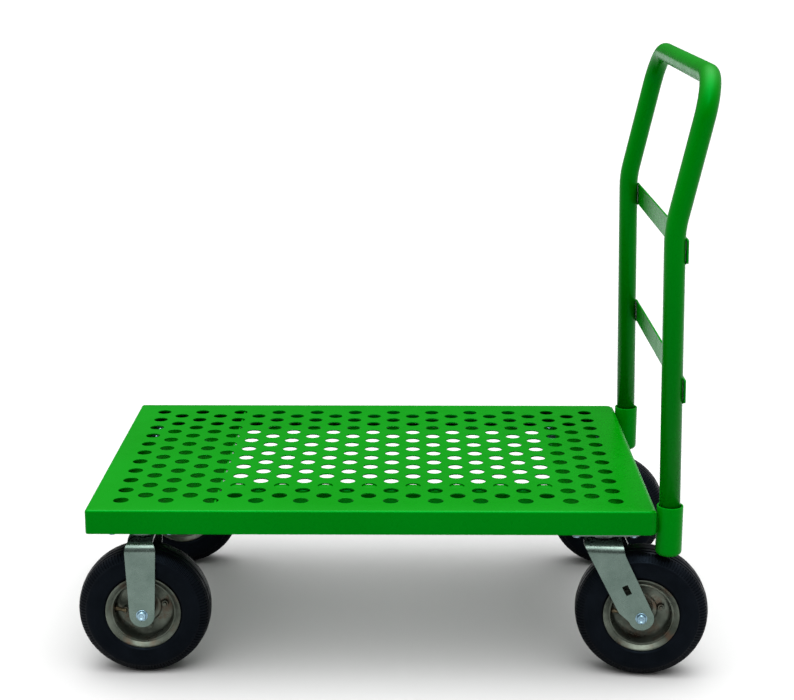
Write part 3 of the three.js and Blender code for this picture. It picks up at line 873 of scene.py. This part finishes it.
def roll_fork(bm, right, left, foot, holes):
    """A fork from the right and left edges (along, x) of one leg, the arc of its foot and its holes."""
    leg = right + foot + left
    outline = leg + [(-a, x) for a, x in reversed(leg)]
    flipped = [[(-a, x) for a, x in hole] for hole in holes]
    centre = [circle_points(0, 0, KINGPIN_HOLE)]
    blank(bm, outline, holes + flipped + centre)
    for side in (-1, 1):
        for cut in range(SHOULDER_CUTS + 1):
            at = side * (FLAT + ARC_LENGTH * cut / SHOULDER_CUTS)
            bmesh.ops.bisect_plane(bm, geom=bm.verts[:] + bm.edges[:] + bm.faces[:], dist=0.000001,
                                   plane_co=(at, 0, 0), plane_no=(1, 0, 0))
    for vert in bm.verts:
        y, z = rolled(vert.co.x)
        vert.co = (vert.co.y, y, z)
    bmesh.ops.recalc_face_normals(bm, faces=bm.faces)
    crown = max(bm.faces, key=lambda f: f.calc_center_median().z)
    if crown.normal.z < 0:
        bmesh.ops.reverse_faces(bm, faces=bm.faces)


def finish_fork(name, bm, place):
    fork = finish_piece(name + "_fork_strap", bm, zinc, body_of(name + "_fork"),
                        [name + "_fork"], place)
    thicken(fork, FORK_THICKNESS, 0.0)
    soften(fork, 1.1 * MM, 3, 50)


# %% Forks of the rigid casters
NECK = 20.5 * MM
LEG_HALF = 25 * MM
for name in ("front_near", "front_far"):
    low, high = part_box(name + "_plate")
    place = Matrix.Translation(((low.x + high.x) / 2, (low.y + high.y) / 2, 0))
    right = [(8 * MM, NECK), (33 * MM, NECK), (38 * MM, 22 * MM), (43 * MM, 24 * MM), (49 * MM, LEG_HALF)]
    left = [(a, -x) for a, x in reversed(right)]
    bm = bmesh.new()
    roll_fork(bm, right, left, arc((AXLE_AT, 0), FOOT_RADIUS, 90, -90, 20),
              [circle_points(AXLE_AT, 0, AXLE_HOLE)])
    finish_fork(name, bm, place)
    fillet = 3 * MM
    boss_top = low.z - 0.3 * MM
    outline = [(7.2 * MM, CROWN_TOP), (BOSS_RADIUS - 2 * MM + fillet, CROWN_TOP)]
    outline += arc((BOSS_RADIUS + fillet - 1 * MM, CROWN_TOP + fillet), fillet, -90, -180, 5)[1:]
    outline += [(BOSS_RADIUS - 1 * MM, boss_top - 1.5 * MM), (BOSS_RADIUS, boss_top), (7.2 * MM, boss_top)]
    bm = bmesh.new()
    spun(bm, outline, (0, 0, 1), about_z, 64)
    finish_piece(name + "_fork_boss", bm, zinc, body_of(name + "_fork"), (), place)

# %% Forks of the swivel casters
for name in ("rear_near", "rear_far"):
    low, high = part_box(name + "_kingpin")
    pivot = Vector(((low.x + high.x) / 2, (low.y + high.y) / 2, 0))
    wheel_low, wheel_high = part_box(name + "_tyre")
    wheel = (wheel_low + wheel_high) / 2
    yaw = math.atan2(wheel.y - pivot.y, wheel.x - pivot.x)
    place = Matrix.Translation(pivot) @ Matrix.Rotation(yaw, 4, "Z")
    shoulder_end = FLAT + ARC_LENGTH
    right = [(8 * MM, 29 * MM), (30 * MM, 31.5 * MM), (shoulder_end, 37.5 * MM)]
    left = [(AXLE_AT - 8 * MM, 29.7 * MM), (35.9 * MM, -29.5 * MM), (26 * MM, -30.5 * MM), (8 * MM, -29 * MM)]
    slot_at = AXLE_AT - 0.37 * (CROWN_TOP - WHEEL_RADIUS)
    slot = slot_points(slot_at, 0.63 * TRAIL, 17 * MM, 10 * MM, RAKE, 1 * MM)
    foot = arc((AXLE_AT, TRAIL), FOOT_RADIUS, 90 + math.degrees(RAKE), -70, 24)
    bm = bmesh.new()
    roll_fork(bm, right, left, foot, [circle_points(AXLE_AT, TRAIL, AXLE_HOLE), slot])
    finish_fork(name, bm, place)
    race_top = CROWN_TOP + 4 * MM
    outline = [(7.2 * MM, CROWN_TOP), (27 * MM, CROWN_TOP), (25.5 * MM, CROWN_TOP + 0.8 * MM)]
    outline += arc((23.8 * MM, race_top - 1 * MM), 1 * MM, 0, 90, 4) + [(7.2 * MM, race_top)]
    bm = bmesh.new()
    spun(bm, outline, (0, 0, 1), about_z, 64)
    finish_piece(name + "_fork_race", bm, zinc, body_of(name + "_fork"), (), place)
print("rake of the swivel forks: %.0f degrees" % math.degrees(RAKE))

# %% [markdown]
# ## Wheels
# A wheel is built round its own axle, lying along y with the outside of the cart towards +y, and is then
# moved to its place. Every round part of it is an outline turned round y.


# %% Where each wheel is
def wheel_place(name):
    low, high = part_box(name + "_tyre")
    centre = (low + high) / 2
    turn = Matrix.Identity(4)
    if name.startswith("rear"):
        pin_low, pin_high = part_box(name + "_kingpin")
        pivot = (pin_low + pin_high) / 2
        turn = Matrix.Rotation(math.atan2(centre.y - pivot.y, centre.x - pivot.x), 4, "Z")
    if outward(name) < 0:
        turn = turn @ Matrix.Rotation(math.pi, 4, "X")
    return Matrix.Translation(centre) @ turn


# %% [markdown]
# The tyre's outline runs from the bead up the sidewall, over the shoulder and across the tread, which has
# four grooves round it. After it is turned, every second column of faces on the shoulder is sunk with an
# inset, and that leaves the row of small blocks that real shoulders have.

# %% Tyre
TYRE_STEPS = 240
BLOCKS_FROM = 95 * MM
BLOCKS_TO = 104.6 * MM
BLOCKS_BEYOND = 23 * MM


def tyre(bm):
    bead = [(53.5, 17), (53.5, 25.2), (57, 27.2), (62.6, 29.9), (64.2, 31.2), (66, 32.5), (67.6, 32.9)]
    sidewall = [(68.8, 32.7), (74, 33.9), (80, 34.8), (84, 35), (88, 34.6), (91.5, 33.7), (93, 33.2)]
    shoulder = [(93.8, 32.2), (97, 30.2), (100.6, 27.8), (103.4, 25.2), (105.4, 22.2), (106.5, 18.8)]
    tread = [(105, 18.4), (105, 16), (107.2, 15.6), (107.9, 9.6), (106.2, 9.2), (106.2, 6.8), (108.2, 6.4),
             (108.5, 3), (108.5, 0)]
    half = bead + sidewall + shoulder + tread
    inside = [(100.5, 9), (90, 25), (68, 26)]
    outline = half + [(r, -y) for r, y in reversed(half[:-1])]
    outline += [(r, -y) for r, y in reversed(inside)] + inside
    spun(bm, [(r * MM, y * MM) for r, y in outline], (0, 1, 0), about_y, TYRE_STEPS)
    sunk = []
    for face in bm.faces:
        centre = face.calc_center_median()
        radius = math.hypot(centre.x, centre.z)
        column = math.floor(math.atan2(centre.z, centre.x) / (2 * math.pi) * TYRE_STEPS)
        if BLOCKS_FROM < radius < BLOCKS_TO and abs(centre.y) > BLOCKS_BEYOND and column % 2:
            sunk.append(face)
    bmesh.ops.inset_region(bm, faces=sunk, thickness=0.35 * MM, depth=-1.3 * MM, use_even_offset=True)


# %% [markdown]
# A rim is two pressed dishes bolted back to back. Each starts with a rolled lip, slopes in to a groove, drops
# down the barrel and ends in a flat disc with a raised ring round the hub.

# %% Rims
RIM_SHEET = 1.6 * MM
BOLT_CIRCLE = 33 * MM
RIM_BOLTS = 4
FIRST_BOLT_TURN = math.radians(10)


def rim_dish(bm, side):
    lip = [(60.9, 30.6), (60.9, 31.2), (60.3, 31.4), (59.4, 31), (58.4, 30.1), (54.8, 28.3), (54, 27.4)]
    groove = [(53, 27), (52, 27.5), (50.9, 27.2), (50.1, 26)]
    barrel = [(49.8, 24), (49.7, 12), (49.1, 8), (47.4, 4), (44.6, 1.9), (41.5, 1.3)]
    disc = [(27.5, 1.3), (26.6, 1.7), (25.4, 2.9), (24.4, 3.2), (18.4, 3.2), (17.4, 2.8), (16.2, 1.6),
            (15.4, 1.3), (14.1, 1.3)]
    outline = lip + groove + barrel + disc
    spun(bm, [(r * MM, side * y * MM) for r, y in outline], (0, 1, 0), about_y, 96, closed=False)


def rim_bolts(bm):
    for i in range(RIM_BOLTS):
        turn = Matrix.Rotation(2 * math.pi * i / RIM_BOLTS + FIRST_BOLT_TURN, 4, "Y")
        at = turn @ Matrix.Translation((BOLT_CIRCLE, 0, 0)) @ Matrix.Rotation(-math.pi / 2, 4, "X")
        back = at @ Matrix.Rotation(math.pi, 4, "X")
        placed(bm, at @ Matrix.Translation((0, 0, 2.2 * MM)), hexagon, 11 * MM, 5 * MM, 3 * MM)
        placed(bm, at @ Matrix.Translation((0, 0, -2 * MM)), threaded_rod, 3 * MM, 12 * MM, 8 * MM, 1 * MM)
        placed(bm, back @ Matrix.Translation((0, 0, 2.2 * MM)), hexagon, 11 * MM, 4.5 * MM)


# %% [markdown]
# The hub is a thick tube with a ball bearing in each end. Its outline steps in at the ends, so the seals and
# the races of the bearings show as rings. The valve stem comes out of the barrel and leans towards the axle.

# %% Hubs and valve stems
VALVE_BASE = Vector((-46.2 * MM, 13 * MM, 0))
VALVE_LEAN = math.atan2(0.883, 0.469)


def hub(bm):
    half = [(5.3, 38), (7.6, 38), (7.8, 37.3), (10.4, 37.3), (10.6, 37.9), (12.5, 38), (13, 37.5)]
    outline = half + [(r, -y) for r, y in reversed(half)]
    spun(bm, [(r * MM, y * MM) for r, y in outline], (0, 1, 0), about_y, 48)


def valve_stem(bm):
    outline = [(0, 0), (4.4, 0), (4.4, 1.6), (3.6, 3.2), (3.1, 9), (2.6, 9.4), (2.6, 12.5), (3.2, 12.9)]
    outline += [(3.2, 20), (2.7, 20.8), (0, 21)]
    spun(bm, [(r * MM, z * MM) for r, z in outline], (0, 0, 1), about_z, 24, closed=False)


# %% [markdown]
# The axle bolt goes through the fork and the hub. Its head is on the outside of the cart and its nut on the
# inside, and each bears on a washer.


# %% Axle bolts and nuts
AXLE_FACE = FORK_OUTER + 0.2 * MM
AXLE_WASHER = 1.1 * MM
AXLE_TIP = 53.3 * MM
AXLE_ACROSS = 14.3 * MM


def axle_bolt(bm):
    placed(bm, Matrix.Translation((0, 0, AXLE_FACE)), washer, 9.5 * MM, 5.2 * MM, AXLE_WASHER)
    placed(bm, Matrix.Translation((0, 0, AXLE_FACE + AXLE_WASHER)), hexagon, AXLE_ACROSS, 4.9 * MM)
    reach = AXLE_FACE + AXLE_WASHER + 0.5 * MM
    down = Matrix.Translation((0, 0, reach)) @ Matrix.Rotation(math.pi, 4, "X")
    placed(bm, down, threaded_rod, 5 * MM, reach + AXLE_TIP, 20 * MM, 1.5 * MM)


def axle_nut(bm):
    face = Matrix.Translation((0, 0, -AXLE_FACE - AXLE_WASHER))
    placed(bm, face, washer, 9.5 * MM, 5.2 * MM, AXLE_WASHER)
    placed(bm, face @ Matrix.Rotation(math.pi, 4, "X"), hexagon, AXLE_ACROSS, 7 * MM, 4.9 * MM)


# %% Four wheels with their axles
for name in CASTERS:
    place = wheel_place(name)
    spin_body = body_of(name + "_tyre")
    bm = bmesh.new()
    tyre(bm)
    finish_piece(name + "_tyre_rubber", bm, tyre_finish, spin_body, [name + "_tyre"], place, 40)
    for side, half in ((1, "outer"), (-1, "inner")):
        bm = bmesh.new()
        rim_dish(bm, side)
        dish = finish_piece(name + "_rim_dish_" + half, bm, rim_finish, spin_body,
                            [name + "_rim_" + half], place, 40)
        thicken(dish, RIM_SHEET, 0.0)
    bm = bmesh.new()
    rim_bolts(bm)
    finish_piece(name + "_rim_bolts", bm, rim_finish, spin_body, (), place)
    bm = bmesh.new()
    hub(bm)
    finish_piece(name + "_hub_tube", bm, bearing_steel, spin_body, [name + "_hub"], place)
    stem_at = Matrix.Translation(VALVE_BASE) @ Matrix.Rotation(-VALVE_LEAN, 4, "Z")
    bm = bmesh.new()
    placed(bm, stem_at @ Matrix.Rotation(-math.pi / 2, 4, "X"), valve_stem)
    finish_piece(name + "_valve", bm, valve_brass, spin_body, [name + "_valve_stem"], place)
    along_axle = place @ Matrix.Rotation(-math.pi / 2, 4, "X")
    bm = bmesh.new()
    axle_bolt(bm)
    finish_piece(name + "_axle_hex_bolt", bm, bolt_zinc, body_of(name + "_axle_bolt"),
                 [name + "_axle_bolt"], along_axle)
    bm = bmesh.new()
    axle_nut(bm)
    finish_piece(name + "_axle_hex_nut", bm, bolt_zinc, body_of(name + "_axle_nut"),
                 [name + "_axle_nut"], along_axle)
    tube = frame["nodes"][name + "_inner_tube"]
    tube.data.materials.clear()
    tube.data.materials.append(tube_rubber)
print("wheels:", len(CASTERS))

# %% [markdown]
# ## Studio
# The floor is a wide pale sheet. The world is a soft box overhead, a small one high in front and a weak one
# past each end of the cart. So tops are light, sides are darker, bent metal shows a bright band along its
# shoulder, and an upright tube is lighter along its two edges than along its middle.

# %% Floor
FLOOR_HALF = 40
bm = bmesh.new()
bmesh.ops.create_grid(bm, x_segments=1, y_segments=1, size=FLOOR_HALF)
floor_mesh = bpy.data.meshes.new("floor")
bm.to_mesh(floor_mesh)
bm.free()
floor = bpy.data.objects.new("floor", floor_mesh)
bpy.context.scene.collection.objects.link(floor)
paint = bpy.data.materials.new("floor_paint")
paint.use_nodes = True
paint_shader = paint.node_tree.nodes["Principled BSDF"]
paint_shader.inputs["Base Color"].default_value = (0.31, 0.31, 0.31, 1)
paint_shader.inputs["Roughness"].default_value = 1.0
paint_shader.inputs["Specular IOR Level"].default_value = 0.0
floor_mesh.materials.append(paint)
print("floor: %d m across" % (2 * FLOOR_HALF))

# %% Light from overhead, from the front and from both ends
HORIZON = 0.07
ZENITH = 11.5
NARROWNESS = 5
ENDS = 1.1
FRONT = 6
FRONT_NARROWNESS = 40
FRONT_HEIGHT = math.radians(48)
world = bpy.data.worlds.new("studio")
world.use_nodes = True
sky = world.node_tree


def sky_math(operation, *terms):
    """A sum in the world's nodes. Each term is a number or an output of a node."""
    made = sky.nodes.new("ShaderNodeMath")
    made.operation = operation
    for socket, term in zip(made.inputs, terms):
        if isinstance(term, (int, float)):
            socket.default_value = term
        else:
            sky.links.new(term, socket)
    return made.outputs["Value"]


direction = sky.nodes.new("ShaderNodeTexCoord")
split = sky.nodes.new("ShaderNodeSeparateXYZ")
sky.links.new(direction.outputs["Generated"], split.inputs["Vector"])
overhead = sky_math("POWER", sky_math("MAXIMUM", split.outputs["Z"], 0.0), NARROWNESS)
from_ends = sky_math("MULTIPLY", split.outputs["X"], split.outputs["X"])
toward_front = sky_math("MULTIPLY_ADD", split.outputs["Z"], math.sin(FRONT_HEIGHT),
                        sky_math("MULTIPLY", split.outputs["Y"], -math.cos(FRONT_HEIGHT)))
in_front = sky_math("POWER", sky_math("MAXIMUM", toward_front, 0.0), FRONT_NARROWNESS)
strength = sky_math("MULTIPLY_ADD", from_ends, ENDS, HORIZON)
strength = sky_math("MULTIPLY_ADD", in_front, FRONT, strength)
strength = sky_math("MULTIPLY_ADD", overhead, ZENITH, strength)
sky.links.new(strength, sky.nodes["Background"].inputs["Strength"])
sky.nodes["Background"].inputs["Color"].default_value = (1, 1, 1, 1)
bpy.context.scene.world = world
print("overhead is %.0f times as bright as the horizon" % (ZENITH / HORIZON))
